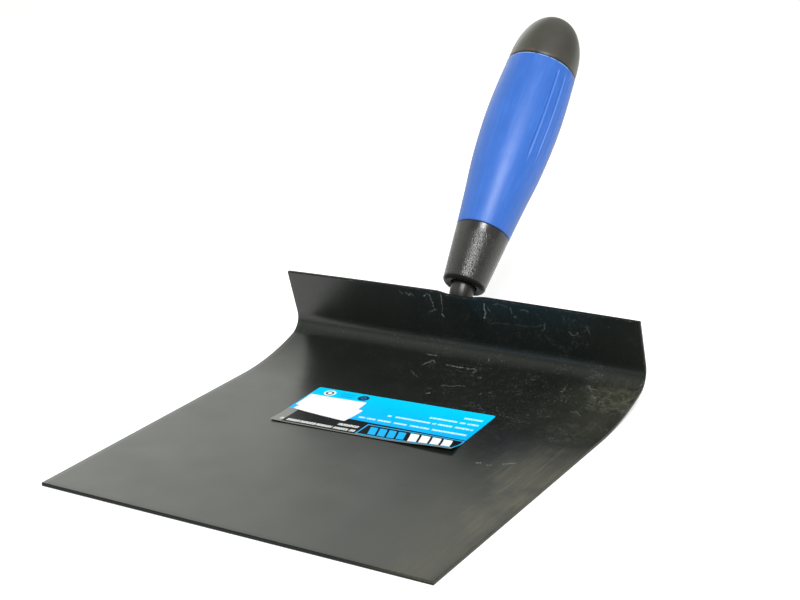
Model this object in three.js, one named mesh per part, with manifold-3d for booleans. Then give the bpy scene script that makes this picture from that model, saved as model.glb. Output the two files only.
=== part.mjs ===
// Harling trowel: a scoop for throwing pebbles at a wet wall. A steel sheet rises gently at the
// back, turns up in a tight bend and ends in a low flange that leans forward. A steel tang is
// welded behind the flange and carries a moulded handle with a soft sleeve and a domed cap.
// Millimetres. X is the width, +Y points back to the handle, +Z is up.
import * as THREE from 'three';
import { mergeVertices } from 'three/addons/utils/BufferGeometryUtils.js';
import Module from 'manifold-3d';

const { degToRad, smoothstep } = THREE.MathUtils;

// ---- Driving dimensions ----
const TOUCH_GAP = 0.3; // left between pieces that touch

const BLADE_WIDTH = 165;
const SHEET = 1.4; // thickness of the steel
const FLAT_LENGTH = 120.5; // flat floor of the pan, from the front edge to the start of the rise
const RISE_RADIUS = 117.5; // gentle rise behind the flat
const RISE_ANGLE = degToRad(18.2);
const BEND_RADIUS = 7.2; // inside of the tight bend
const BEND_ANGLE = degToRad(86.4);
const FLANGE_HEIGHT = 20.4; // straight stretch above the tight bend
const FLANGE_CROWN = 0.8; // how much taller the flange is at its middle than at its ends
const DENT_X = 3.5; // a shallow dent in the flange's top edge, just off the tang's middle
const DENT_PUSH = 1.2; // how far it presses the edge forward
const DENT_DROP = 0.35; // and down
const DENT_FLAT_HALF = 3; // half width of its flat middle
const DENT_HALF = 12; // half width of the whole dent

const HANDLE_TILT = degToRad(45.9); // above the pan's floor
const MOUTH_BACK = 45.5; // centre of the handle's mouth, behind the start of the rise
const MOUTH_HEIGHT = 36.55;
const HANDLE_LENGTH = 132;
const FERRULE_LENGTH = 25.4; // bare front of the core, up to the soft sleeve
const GRIP_END = 106.1; // where the soft sleeve meets the cap
const GRIP_WALL = 2.4;
const LIP_RADIUS = 1.8; // rounding of the handle's mouth
const MOUTH_RADIUS = 9;
const SHOULDER_RADIUS = 15.2; // outer radius where the sleeve meets the cap
// The handle's outer radius at stations along its axis, from the mouth to the cap.
const HANDLE_OUTLINE = [
  [0, MOUTH_RADIUS],
  [16.2, 10.55],
  [29.2, 11.85],
  [42.2, 13.3],
  [54.7, 14.85],
  [67.2, 15.8],
  [80.2, 16.25],
  [93.2, 15.95],
  [GRIP_END, SHOULDER_RADIUS],
];
const DOME_POWER = 2.2; // 2 is an ellipse, and a little more gives fuller shoulders

const TANG_RADIUS = 5;
const TANG_IN_HANDLE = 79;
const TANG_FOOT = 8.5; // straight stretch of rod below the bend
const TANG_FLAT = 1.5; // how deep the rod's front is ground flat against the flange
const TANG_POINT = 3; // chamfer at the buried end
const NOTCH_DEPTH = 1; // ring notches that lock the tang in the plastic
const NOTCH_LENGTH = 3;
const NOTCH_STATIONS = [22, 36, 50, 64];
const PALM_WIDTH = 14;
const PALM_HEIGHT = 15;
const PALM_LIFT = 1; // palm's lower end above the tight bend
const PALM_THICKNESS = 3;
const PALM_CORNER = 3;
const WELD_LEG = 3;
const WELD_LENGTH = 11;

const CORE_WEB = 5; // solid wall between the tang's bore and the cap's socket
const SPIGOT_RADIUS = 8;
const SPIGOT_LENGTH = 14;

const STICKER_THICKNESS = 0.25;
const STICKER_CORNER = 0.8;
// Stickers on the pan: centre from the start of the rise, turn in degrees, layers below each.
const LABEL = { width: 80, depth: 37, x: -2.1, y: -16.7, turn: 2.4, layer: 0 };
const PRICE_UNDER = { width: 26, depth: 12, x: -26, y: -18.9, turn: -5.4, layer: 1 };
const PRICE_OVER = { width: 26, depth: 12, x: -28.1, y: -13.6, turn: 3.1, layer: 2 };

const ROUND_SIDES = 40; // facets round the handle's pieces
const ROD_SIDES = 20;

// ---- Materials ----
const finish = (color, roughness, metalness) =>
  new THREE.MeshStandardMaterial({ color, roughness, metalness });
const blackLacquer = finish(0x1b1d1c, 0.42, 0.3);
const darkSteel = finish(0x3a3a3a, 0.35, 0.9);
const weldMetal = finish(0x2c2b2a, 0.55, 0.8);
const corePlastic = finish(0x1d1e20, 0.6, 0);
const gripRubber = finish(0x1f3fae, 0.5, 0);
const capPlastic = finish(0x221f1e, 0.35, 0);
const labelVinyl = finish(0x18a0dc, 0.3, 0);
const whitePaper = finish(0xf2f2f0, 0.7, 0);

// ---- Joining and cutting ----
const wasm = await Module();
wasm.setup();

function toSolid(geometry) {
  const bare = geometry.clone();
  bare.deleteAttribute('normal');
  bare.deleteAttribute('uv');
  const merged = mergeVertices(bare, 1e-4);
  const vertProperties = new Float32Array(merged.attributes.position.array);
  const triVerts = new Uint32Array(merged.index.array);
  return new wasm.Manifold(new wasm.Mesh({ numProp: 3, vertProperties, triVerts }));
}

function toGeometry(solid) {
  const { vertProperties, triVerts } = solid.getMesh();
  const geometry = new THREE.BufferGeometry();
  geometry.setAttribute('position', new THREE.BufferAttribute(vertProperties, 3));
  geometry.setIndex(new THREE.BufferAttribute(triVerts, 1));
  return geometry;
}

function named(name, geometry, material) {
  const mesh = new THREE.Mesh(geometry, material);
  mesh.name = name;
  return mesh;
}

// Evenly spaced values over a stretch, without its first one.
function spread(from, to, steps) {
  return Array.from({ length: steps }, (_, i) => from + ((to - from) * (i + 1)) / steps);
}

// Moves every corner of a geometry to where place(x, y, z) puts it.
function reshape(geometry, place) {
  const corners = geometry.attributes.position;
  for (let i = 0; i < corners.count; i++) {
    const { x, y, z } = place(corners.getX(i), corners.getY(i), corners.getZ(i));
    corners.setXYZ(i, x, y, z);
  }
  geometry.computeVertexNormals();
  return geometry;
}

function roundedRectangle(width, height, radius) {
  const w = width / 2 - radius;
  const h = height / 2 - radius;
  const quarter = Math.PI / 2;
  const outline = new THREE.Shape();
  outline.absarc(w, h, radius, 0, quarter);
  outline.absarc(-w, h, radius, quarter, 2 * quarter);
  outline.absarc(-w, -h, radius, 2 * quarter, 3 * quarter);
  outline.absarc(w, -h, radius, 3 * quarter, 4 * quarter);
  return outline;
}

// ---- The sheet's side profile ----
// Distances along the sheet's upper side at which each stretch of the profile ends.
const RISE_END = FLAT_LENGTH + RISE_RADIUS * RISE_ANGLE;
const BEND_END = RISE_END + BEND_RADIUS * BEND_ANGLE;
const SHEET_END = BEND_END + FLANGE_HEIGHT;

// The point of the upper side at distance s from the front edge, and its slope.
function profileAt(s) {
  if (s <= FLAT_LENGTH) {
    return { y: s - FLAT_LENGTH, z: SHEET, slope: 0 };
  }
  const riseSlope = Math.min((s - FLAT_LENGTH) / RISE_RADIUS, RISE_ANGLE);
  const riseY = RISE_RADIUS * Math.sin(riseSlope);
  const riseZ = SHEET + RISE_RADIUS * (1 - Math.cos(riseSlope));
  const bendSlope = Math.min(Math.max(s - RISE_END, 0) / BEND_RADIUS, BEND_ANGLE);
  const slope = riseSlope + bendSlope;
  const bendY = riseY + BEND_RADIUS * (Math.sin(slope) - Math.sin(riseSlope));
  const bendZ = riseZ + BEND_RADIUS * (Math.cos(riseSlope) - Math.cos(slope));
  const up = Math.max(s - BEND_END, 0);
  return { y: bendY + up * Math.cos(slope), z: bendZ + up * Math.sin(slope), slope };
}

// 1 over the dent's flat middle, falling smoothly to 0 at its rim.
function dentShare(x) {
  return 1 - smoothstep(Math.abs(x - DENT_X), DENT_FLAT_HALF, DENT_HALF);
}

// A point of the sheet: x across, s along the upper side, h above the underside.
function sheetPoint(x, s, h) {
  const flangeShare = Math.max(s - BEND_END, 0) / FLANGE_HEIGHT;
  const crown = FLANGE_CROWN * (1 - ((2 * x) / BLADE_WIDTH) ** 2);
  const taller = (crown - DENT_DROP * dentShare(x)) * flangeShare;
  const { y, z, slope } = profileAt(s + taller);
  const inward = h - SHEET + DENT_PUSH * dentShare(x) * flangeShare;
  return new THREE.Vector3(x, y - inward * Math.sin(slope), z + inward * Math.cos(slope));
}

// ---- The pressed sheet: a flat blank with rows along it and columns across it, then bent ----
function makeBlade() {
  const rows = [
    0,
    ...spread(0, FLAT_LENGTH, 2),
    ...spread(FLAT_LENGTH, RISE_END, 6),
    ...spread(RISE_END, BEND_END, 9),
    ...spread(BEND_END, SHEET_END, 3),
  ];
  const edge = BLADE_WIDTH / 2;
  const columns = [
    -edge,
    ...spread(-edge, DENT_X - DENT_HALF, 4),
    ...spread(DENT_X - DENT_HALF, DENT_X + DENT_HALF, 8),
    ...spread(DENT_X + DENT_HALF, edge, 4),
  ];
  const lastColumn = columns.length - 1;
  const lastRow = rows.length - 1;
  const blank = new THREE.BoxGeometry(lastColumn, lastRow, SHEET, lastColumn, lastRow, 1);
  const bent = reshape(blank, (column, row, h) =>
    sheetPoint(
      columns[Math.round(column + lastColumn / 2)],
      rows[Math.round(row + lastRow / 2)],
      h + SHEET / 2,
    ),
  );
  return named('blade', bent, blackLacquer);
}

// ---- The seat: the flat of the flange's back, where the tang is welded at mid width ----
// Its Y axis points up along the flange's back, and its Z axis straight out of it.
function makeSeat() {
  const seat = new THREE.Group();
  const corner = -BLADE_WIDTH / 2;
  seat.position.copy(sheetPoint(corner, BEND_END, 0));
  const up = sheetPoint(corner, SHEET_END, 0).sub(seat.position).normalize();
  seat.position.x = 0;
  const left = new THREE.Vector3(-1, 0, 0);
  const out = left.clone().cross(up);
  seat.setRotationFromMatrix(new THREE.Matrix4().makeBasis(left, up, out));
  seat.updateMatrixWorld();
  return seat;
}

// ---- The handle's place: its Y axis runs along the handle from the mouth ----
function makeHandleFrame() {
  const frame = new THREE.Group();
  frame.position.set(0, MOUTH_BACK, MOUTH_HEIGHT);
  frame.rotation.x = HANDLE_TILT;
  frame.updateMatrixWorld();
  return frame;
}

// ---- The tang: turned and notched as a straight rod, bent at the mouth, given a flat palm ----
function makeStraightRod(bendLength) {
  const rim = [
    [TANG_RADIUS, -bendLength - TANG_FOOT],
    ...spread(-bendLength, 0, 7).map((station) => [TANG_RADIUS, station]),
  ];
  for (const start of NOTCH_STATIONS) {
    const floor = TANG_RADIUS - NOTCH_DEPTH;
    const end = start + NOTCH_LENGTH;
    rim.push([TANG_RADIUS, start], [floor, start], [floor, end], [TANG_RADIUS, end]);
  }
  rim.push([TANG_RADIUS, TANG_IN_HANDLE - TANG_POINT]);
  rim.push([TANG_RADIUS - TANG_POINT, TANG_IN_HANDLE]);
  const profile = [[0, rim[0][1]], ...rim, [0, TANG_IN_HANDLE]];
  return new THREE.LatheGeometry(profile.map(([r, y]) => new THREE.Vector2(r, y)), ROD_SIDES);
}

function makeTang(seat, handleFrame) {
  const axis = new THREE.Vector3(0, 1, 0).transformDirection(handleFrame.matrixWorld);
  const seatUp = new THREE.Vector3(0, 1, 0).transformDirection(seat.matrixWorld);
  const turn = axis.angleTo(seatUp);
  const mouth = handleFrame.position;
  const mouthFromSeat = seat.worldToLocal(mouth.clone()).z;
  const footFromSeat = TOUCH_GAP + TANG_RADIUS - TANG_FLAT;
  const bendRadius = (mouthFromSeat - footFromSeat) / (1 - Math.cos(turn));
  const bendLength = bendRadius * turn;

  // Carries a point of the straight rod onto the bent one.
  const across = new THREE.Vector3(1, 0, 0);
  const centre = new THREE.Vector3(0, axis.z, -axis.y).multiplyScalar(bendRadius).add(mouth);
  const bend = (x, station, z) => {
    const angle = Math.min(Math.max(-station / bendRadius, 0), turn);
    const straight = station < 0 ? station + angle * bendRadius : station;
    return new THREE.Vector3(0, straight, z)
      .applyAxisAngle(across, HANDLE_TILT)
      .add(mouth)
      .sub(centre)
      .applyAxisAngle(across, angle)
      .add(centre)
      .setX(x);
  };
  const rod = toSolid(reshape(makeStraightRod(bendLength), bend));

  const palmShape = roundedRectangle(PALM_WIDTH, PALM_HEIGHT, PALM_CORNER);
  const palmStock = new THREE.ExtrudeGeometry(palmShape, {
    depth: PALM_THICKNESS,
    bevelEnabled: false,
    curveSegments: 4,
  });
  palmStock.translate(0, PALM_LIFT + PALM_HEIGHT / 2, TOUCH_GAP);
  const palm = toSolid(palmStock.applyMatrix4(seat.matrixWorld));

  const flangeSide = 40;
  const groundOff = new THREE.BoxGeometry(flangeSide, flangeSide, flangeSide);
  groundOff.translate(0, 0, TOUCH_GAP - flangeSide / 2);
  const flat = toSolid(groundOff.applyMatrix4(seat.matrixWorld));
  return named('tang', toGeometry(rod.subtract(flat).add(palm)), darkSteel);
}

// ---- Fillet welds down both sides of the palm ----
function makeWelds(seat) {
  const fillet = new THREE.Shape();
  fillet.moveTo(0, 0);
  fillet.lineTo(WELD_LEG, 0);
  fillet.quadraticCurveTo(WELD_LEG * 0.7, WELD_LEG * 0.7, 0, WELD_LEG);
  fillet.closePath();
  const upperEnd = PALM_LIFT + (PALM_HEIGHT + WELD_LENGTH) / 2;
  for (const [name, side] of [['weld_left', 1], ['weld_right', -1]]) {
    const bead = new THREE.ExtrudeGeometry(fillet, {
      depth: WELD_LENGTH,
      bevelEnabled: false,
      curveSegments: 5,
    });
    // The section lies across the palm's edge, and the bead runs down along it.
    bead.rotateX(Math.PI / 2);
    const mesh = named(name, bead, weldMetal);
    mesh.position.set(side * (PALM_WIDTH / 2 + TOUCH_GAP), upperEnd, TOUCH_GAP);
    mesh.scale.x = side;
    seat.add(mesh);
  }
}

// ---- The handle's pieces, turned about its axis ----
const outlineCurve = new THREE.SplineCurve(HANDLE_OUTLINE.map(([y, r]) => new THREE.Vector2(r, y)));

// Outline points between two stations, with the same spacing wherever the outline is used.
function outlineBetween(from, to, inset) {
  const inner = outlineCurve.getPoints(24).filter(({ y }) => y > from + 1 && y < to - 1);
  const ends = [from, to].map((station) => new THREE.Vector2(outlineRadius(station), station));
  return [ends[0], ...inner, ends[1]].map(({ x, y }) => new THREE.Vector2(x - inset, y));
}

function outlineRadius(station) {
  const fine = outlineCurve.getPoints(400);
  const next = Math.max(fine.findIndex(({ y }) => y >= station), 1);
  const a = fine[next - 1];
  const b = fine[next];
  return a.x + ((b.x - a.x) * (station - a.y)) / (b.y - a.y);
}

function turned(name, profile, material) {
  return named(name, new THREE.LatheGeometry(profile, ROUND_SIDES), material);
}

// A quarter circle from angle a to angle b, as profile points.
function arcPoints(x, y, radius, a, b, steps) {
  return new THREE.EllipseCurve(x, y, radius, radius, a, b, b < a).getPoints(steps);
}

function makeCore() {
  const at = (r, y) => new THREE.Vector2(r, y);
  const bore = TANG_RADIUS + TOUCH_GAP;
  const boreEnd = TANG_IN_HANDLE + TOUCH_GAP;
  const socket = SPIGOT_RADIUS + TOUCH_GAP;
  const seatInset = GRIP_WALL + TOUCH_GAP;
  const lip = arcPoints(MOUTH_RADIUS - LIP_RADIUS, LIP_RADIUS, LIP_RADIUS, -Math.PI / 2, 0, 5);
  const profile = [
    at(0, boreEnd),
    at(bore, boreEnd),
    at(bore, 0),
    ...lip,
    ...outlineBetween(LIP_RADIUS + 1, FERRULE_LENGTH, 0),
    ...outlineBetween(FERRULE_LENGTH, GRIP_END - TOUCH_GAP, seatInset),
    at(socket, GRIP_END - TOUCH_GAP),
    at(socket, boreEnd + CORE_WEB),
    at(0, boreEnd + CORE_WEB),
  ];
  return turned('handle_core', profile, corePlastic);
}

function makeGrip() {
  const front = FERRULE_LENGTH + TOUCH_GAP;
  const back = GRIP_END - TOUCH_GAP;
  const outside = outlineBetween(front, back, 0);
  const inside = outlineBetween(front, back, GRIP_WALL).reverse();
  return turned('soft_grip', [...outside, ...inside, outside[0].clone()], gripRubber);
}

function makeCap() {
  const spigotEnd = GRIP_END - SPIGOT_LENGTH;
  const rise = HANDLE_LENGTH - GRIP_END;
  const dome = spread(0, Math.PI / 2, 9).map((angle) => {
    const outward = Math.cos(angle) ** (2 / DOME_POWER);
    const along = Math.sin(angle) ** (2 / DOME_POWER);
    return new THREE.Vector2(SHOULDER_RADIUS * outward, GRIP_END + rise * along);
  });
  dome[dome.length - 1].x = 0;
  const profile = [
    new THREE.Vector2(0, spigotEnd),
    new THREE.Vector2(SPIGOT_RADIUS, spigotEnd),
    new THREE.Vector2(SPIGOT_RADIUS, GRIP_END),
    new THREE.Vector2(SHOULDER_RADIUS, GRIP_END),
    ...dome,
  ];
  return turned('end_cap', profile, capPlastic);
}

// ---- The label on the pan, with two price stickers over it ----
function makeSticker(name, { width, depth, x, y, turn, layer }, material) {
  const outline = roundedRectangle(width, depth, STICKER_CORNER);
  const slab = new THREE.ExtrudeGeometry(outline, {
    depth: STICKER_THICKNESS,
    bevelEnabled: false,
    curveSegments: 2,
  });
  const mesh = named(name, slab, material);
  const layerHeight = TOUCH_GAP + STICKER_THICKNESS;
  mesh.position.set(x, y, SHEET + TOUCH_GAP + layer * layerHeight);
  mesh.rotation.z = degToRad(turn);
  return mesh;
}

// ---- Assembly ----
const trowel = new THREE.Group();
const seat = makeSeat();
const handleFrame = makeHandleFrame();
trowel.add(makeBlade(), makeTang(seat, handleFrame), seat, handleFrame);
makeWelds(seat);
handleFrame.add(makeCore(), makeGrip(), makeCap());
trowel.add(
  makeSticker('label', LABEL, labelVinyl),
  makeSticker('price_sticker_lower', PRICE_UNDER, whitePaper),
  makeSticker('price_sticker_upper', PRICE_OVER, whitePaper),
);

// The origin is on the ground, under the middle of the whole tool's outline.
const extent = new THREE.Box3().setFromObject(trowel, true);
const middle = extent.getCenter(new THREE.Vector3());
trowel.position.set(-middle.x, -middle.y, -extent.min.z);

export default trowel;
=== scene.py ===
# The looks of a harling trowel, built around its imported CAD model.
# Shapes are worked out in millimetres in the trowel's own frame: X across the pan, Y back from
# the start of the sheet's rise, Z up. Meshes are stored in metres, in the part's frame.
import math

import bmesh
import bpy
import numpy as np
from mathutils import Matrix, Vector


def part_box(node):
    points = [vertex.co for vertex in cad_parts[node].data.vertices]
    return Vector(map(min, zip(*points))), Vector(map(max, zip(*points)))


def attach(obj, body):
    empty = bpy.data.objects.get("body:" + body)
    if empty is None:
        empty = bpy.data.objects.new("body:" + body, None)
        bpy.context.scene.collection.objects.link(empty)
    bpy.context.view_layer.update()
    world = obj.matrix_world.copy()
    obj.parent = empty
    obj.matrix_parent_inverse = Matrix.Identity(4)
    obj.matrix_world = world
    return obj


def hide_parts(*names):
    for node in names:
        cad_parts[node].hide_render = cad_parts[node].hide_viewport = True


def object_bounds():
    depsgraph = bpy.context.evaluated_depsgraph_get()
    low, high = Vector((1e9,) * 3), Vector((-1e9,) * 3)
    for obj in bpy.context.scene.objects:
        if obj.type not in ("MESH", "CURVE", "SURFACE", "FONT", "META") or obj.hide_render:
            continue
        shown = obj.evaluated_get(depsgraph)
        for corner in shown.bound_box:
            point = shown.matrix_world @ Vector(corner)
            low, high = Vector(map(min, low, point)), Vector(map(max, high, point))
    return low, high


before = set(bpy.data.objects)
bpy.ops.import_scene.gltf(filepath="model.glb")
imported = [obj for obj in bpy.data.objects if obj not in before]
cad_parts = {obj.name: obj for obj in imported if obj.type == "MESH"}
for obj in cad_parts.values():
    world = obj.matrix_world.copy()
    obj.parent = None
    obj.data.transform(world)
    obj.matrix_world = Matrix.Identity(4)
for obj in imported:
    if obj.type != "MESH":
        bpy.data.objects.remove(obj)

CAD_LOW, CAD_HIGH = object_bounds()
MM = 0.001

# ---- Sizes shared with the CAD model ----
BLADE_WIDTH = 165
SHEET = 1.4
FLAT_LENGTH = 120.5
RISE_RADIUS = 117.5
RISE_ANGLE = math.radians(18.2)
BEND_RADIUS = 7.2
BEND_ANGLE = math.radians(86.4)
FLANGE_HEIGHT = 20.4
FLANGE_CROWN = 0.8
DENT_X = 3.5
DENT_PUSH = 1.2
DENT_DROP = 0.35
DENT_FLAT_HALF = 3
DENT_HALF = 12
RISE_END = FLAT_LENGTH + RISE_RADIUS * RISE_ANGLE
BEND_END = RISE_END + BEND_RADIUS * BEND_ANGLE
SHEET_END = BEND_END + FLANGE_HEIGHT

HANDLE_TILT = math.radians(45.9)
MOUTH_BACK = 45.5
MOUTH_HEIGHT = 36.55
HANDLE_LENGTH = 132
FERRULE_LENGTH = 25.4
GRIP_END = 106.1
GRIP_WALL = 2.4
LIP_RADIUS = 1.8
MOUTH_RADIUS = 9
SHOULDER_RADIUS = 15.2
HANDLE_OUTLINE = [
    (0, MOUTH_RADIUS),
    (16.2, 10.55),
    (29.2, 11.85),
    (42.2, 13.3),
    (54.7, 14.85),
    (67.2, 15.8),
    (80.2, 16.25),
    (93.2, 15.95),
    (GRIP_END, SHOULDER_RADIUS),
]
DOME_POWER = 2.2

GAP = 0.3
TANG_RADIUS = 5
TANG_IN_HANDLE = 79
TANG_FOOT = 8.5
TANG_FLAT = 1.5
TANG_POINT = 3
PALM_WIDTH = 14
PALM_HEIGHT = 15
PALM_LIFT = 1
PALM_THICKNESS = 3
PALM_CORNER = 3
WELD_LEG = 3
WELD_LENGTH = 11
CORE_WEB = 5
SPIGOT_RADIUS = 8
SPIGOT_LENGTH = 14

LABEL = {"width": 80, "depth": 37, "x": -2.1, "y": -16.7, "turn": 2.4}
PRICE_UNDER = {"width": 26, "depth": 12, "x": -26.0, "y": -18.9, "turn": -5.4}
PRICE_OVER = {"width": 26, "depth": 12, "x": -28.1, "y": -13.6, "turn": 3.1}

# ---- Sizes of the looks alone ----
# Each film lies on the one below it: the height of its underside, and its thickness.
LABEL.update(base=0.05, thickness=0.12)
PRICE_UNDER.update(base=0.23, thickness=0.1)
PRICE_OVER.update(base=0.35, thickness=0.1)
GROOVE_ANGLES = [0, 17, 33]
GROOVE_DEPTH = 0.6
GROOVE_HALF = 0.85
GROOVE_START = 54
GROOVE_STOP = 103
GROOVE_FADE_IN = 14
GROOVE_FADE_OUT = 2.5
FLOOR_HALF = 6000
FLOOR_DROP = 0.2

# The CAD model's front edge says how far its frame lies from the trowel's own.
FRAME_SHIFT = np.array([0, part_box("blade")[0].y / MM + FLAT_LENGTH, 0])


# ---- Meshes ----
def grid_faces(rows, columns, wrap_rows=False, wrap_columns=False):
    faces = []
    for i in range(rows if wrap_rows else rows - 1):
        for j in range(columns if wrap_columns else columns - 1):
            below = i * columns
            above = (i + 1) % rows * columns
            right = (j + 1) % columns
            faces.append((below + j, below + right, above + right, above + j))
    return faces


def tube_faces(rows, columns):
    """The faces between rows of rings, and one over each end."""
    ends = [tuple(range(columns)), tuple(range((rows - 1) * columns, rows * columns))]
    return grid_faces(rows, columns, wrap_columns=True) + ends


def make_mesh(name, points, faces, sharp=35, coordinates=None):
    """A closed smooth mesh from points in millimetres. coordinates is kept for the material."""
    mesh = bpy.data.meshes.new(name)
    mesh.from_pydata(((points.reshape(-1, 3) + FRAME_SHIFT) * MM).tolist(), [], faces)
    if coordinates is not None:
        attribute = mesh.attributes.new("surface", "FLOAT_VECTOR", "POINT")
        attribute.data.foreach_set("vector", np.asarray(coordinates, np.float32).ravel())
    tidy = bmesh.new()
    tidy.from_mesh(mesh)
    bmesh.ops.remove_doubles(tidy, verts=tidy.verts, dist=1e-7)
    bmesh.ops.recalc_face_normals(tidy, faces=tidy.faces)
    tidy.to_mesh(mesh)
    tidy.free()
    mesh.shade_smooth()
    mesh.set_sharp_from_angle(angle=math.radians(sharp))
    return mesh


def add_object(name, data):
    item = bpy.data.objects.new(name, data)
    bpy.context.scene.collection.objects.link(item)
    return item


def add_piece(name, mesh, material, node):
    mesh.materials.clear()
    mesh.materials.append(material)
    piece = add_object(name, mesh)
    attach(piece, "root")
    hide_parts(node)


def smoothstep(value, low, high):
    t = np.clip((value - low) / (high - low), 0, 1)
    return t * t * (3 - 2 * t)


def stretches(*ends_and_steps):
    """Rising values from (start, end, steps) stretches that follow on from each other."""
    return np.unique(np.concatenate([np.linspace(*stretch) for stretch in ends_and_steps]))


def arc(x, y, radius, start, end, steps):
    angles = np.radians(np.linspace(start, end, steps))
    return [(x + radius * math.cos(a), y + radius * math.sin(a)) for a in angles]


# ---- The pressed sheet ----
def profile_at(s):
    rise = np.clip((s - FLAT_LENGTH) / RISE_RADIUS, 0, RISE_ANGLE)
    slope = rise + np.clip((s - RISE_END) / BEND_RADIUS, 0, BEND_ANGLE)
    up = np.maximum(s - BEND_END, 0)
    y = np.minimum(s - FLAT_LENGTH, 0) + RISE_RADIUS * np.sin(rise)
    y = y + BEND_RADIUS * (np.sin(slope) - np.sin(rise)) + up * np.cos(slope)
    z = SHEET + RISE_RADIUS * (1 - np.cos(rise))
    z = z + BEND_RADIUS * (np.cos(rise) - np.cos(slope)) + up * np.sin(slope)
    return y, z, slope


def sheet_point(x, s, h):
    """A point of the sheet: x across, s along its upper side, h above its underside."""
    x, s, h = np.broadcast_arrays(x, s, h)
    share = np.maximum(s - BEND_END, 0) / FLANGE_HEIGHT
    dent = 1 - smoothstep(np.abs(x - DENT_X), DENT_FLAT_HALF, DENT_HALF)
    crown = FLANGE_CROWN * (1 - (2 * x / BLADE_WIDTH) ** 2)
    y, z, slope = profile_at(s + (crown - DENT_DROP * dent) * share)
    inward = h - SHEET + DENT_PUSH * dent * share
    return np.stack([x, y - inward * np.sin(slope), z + inward * np.cos(slope)], axis=-1)


def sheet_loop(lengthwise, inset, edge):
    """The sheet's section as a closed loop of (s, h), with its four corners rounded."""
    radius = edge - inset
    top = [(s, SHEET - inset) for s in lengthwise]
    bottom = [(s, inset) for s in lengthwise[::-1]]
    back = arc(SHEET_END - edge, SHEET - edge, radius, 75, 0, 6)
    back += arc(SHEET_END - edge, edge, radius, 0, -75, 6)
    front = arc(edge, edge, radius, -105, -180, 6)
    front += arc(edge, SHEET - edge, radius, 180, 105, 6)
    return np.array(top + back + bottom + front)


def blade_mesh():
    edge = 0.3
    lengthwise = stretches(
        (edge, FLAT_LENGTH, 49),
        (FLAT_LENGTH, RISE_END, 39),
        (RISE_END, BEND_END, 37),
        (BEND_END, SHEET_END - edge, 25),
    )
    side = BLADE_WIDTH / 2 - edge
    across = stretches(
        (-side, DENT_X - DENT_HALF, 30),
        (DENT_X - DENT_HALF, DENT_X + DENT_HALF, 33),
        (DENT_X + DENT_HALF, side, 28),
    )
    turns = np.radians([78, 60, 40, 20])
    rounded = [(-side - edge * math.sin(t), edge * (1 - math.cos(t))) for t in turns]
    columns = rounded + [(x, 0) for x in across]
    columns += [(-x, inset) for x, inset in rounded[::-1]]
    loops = [sheet_loop(lengthwise, inset, edge) for _, inset in columns]
    coordinates = np.array([[(x, s, h) for s, h in loop] for (x, _), loop in zip(columns, loops)])
    points = sheet_point(*np.moveaxis(coordinates, -1, 0))

    size = coordinates.shape[1]
    count = len(lengthwise)
    corner = (size - 2 * count) // 2
    faces = grid_faces(len(columns), size, wrap_columns=True)
    for start in (0, (len(columns) - 1) * size):
        bottom = start + 2 * count + corner - 1
        for i in range(count - 1):
            faces.append((start + i, start + i + 1, bottom - i - 1, bottom - i))
        faces.append(tuple(range(start + count - 1, start + count + corner + 1)))
        faces.append((*range(bottom, start + size), start))
    return make_mesh("pan", points, faces, coordinates=coordinates)


# ---- The handle's frame ----
MOUTH = np.array([0, MOUTH_BACK, MOUTH_HEIGHT])
AXIS = np.array([0, math.cos(HANDLE_TILT), math.sin(HANDLE_TILT)])
UPPER = np.array([0, -math.sin(HANDLE_TILT), math.cos(HANDLE_TILT)])
ACROSS = np.array([1.0, 0, 0])


def spline(points, per_span=40):
    """Catmull-Rom curve through points, as the CAD model's outline has."""
    p = np.array([points[0], *points, points[-1]], float)
    t = np.linspace(0, 1, per_span, endpoint=False)[:, None]
    spans = []
    for a, b, c, d in zip(p, p[1:], p[2:], p[3:]):
        v0 = (c - a) / 2
        v1 = (d - b) / 2
        cubic = (2 * b - 2 * c + v0 + v1) * t**3 + (3 * c - 3 * b - 2 * v0 - v1) * t**2
        spans.append(cubic + v0 * t + b)
    return np.concatenate([*spans, p[-1:]])


OUTLINE = spline(HANDLE_OUTLINE)


def outline_radius(station):
    return np.interp(station, OUTLINE[:, 0], OUTLINE[:, 1])


def handle_point(x, station, z):
    x, station, z = (np.asarray(v, float)[..., None] for v in np.broadcast_arrays(x, station, z))
    return MOUTH + x * ACROSS + station * AXIS + z * UPPER


def revolved_mesh(name, profile, angles, closed=False, sink=None):
    """Turns (radius, station) points about the handle's axis. Angles run from +X upwards.
    sink(radius, station, angle) says how far each point lies below the turned surface."""
    profile = np.array(profile, float)
    angle = np.asarray(angles)[None, :]
    radius = np.broadcast_to(profile[:, :1], (len(profile), angle.shape[1]))
    station = np.broadcast_to(profile[:, 1:], radius.shape)
    depth = np.zeros(radius.shape) if sink is None else sink(radius, station, angle)
    points = handle_point(
        (radius - depth) * np.cos(angle), station, (radius - depth) * np.sin(angle)
    )
    coordinates = np.stack([np.broadcast_to(angle, radius.shape), station, depth], axis=-1)
    faces = grid_faces(*radius.shape, wrap_rows=closed, wrap_columns=True)
    return make_mesh(name, points, faces, coordinates=coordinates)


def even_angles(count):
    """Angles all the way round, from the handle's underside."""
    return np.linspace(-math.pi / 2, 1.5 * math.pi, count, endpoint=False)


def outline_points(start, end, step, inset=0):
    stations = np.linspace(start, end, max(int((end - start) / step), 1) + 1)
    return [(outline_radius(s) - inset, s) for s in stations]


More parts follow.
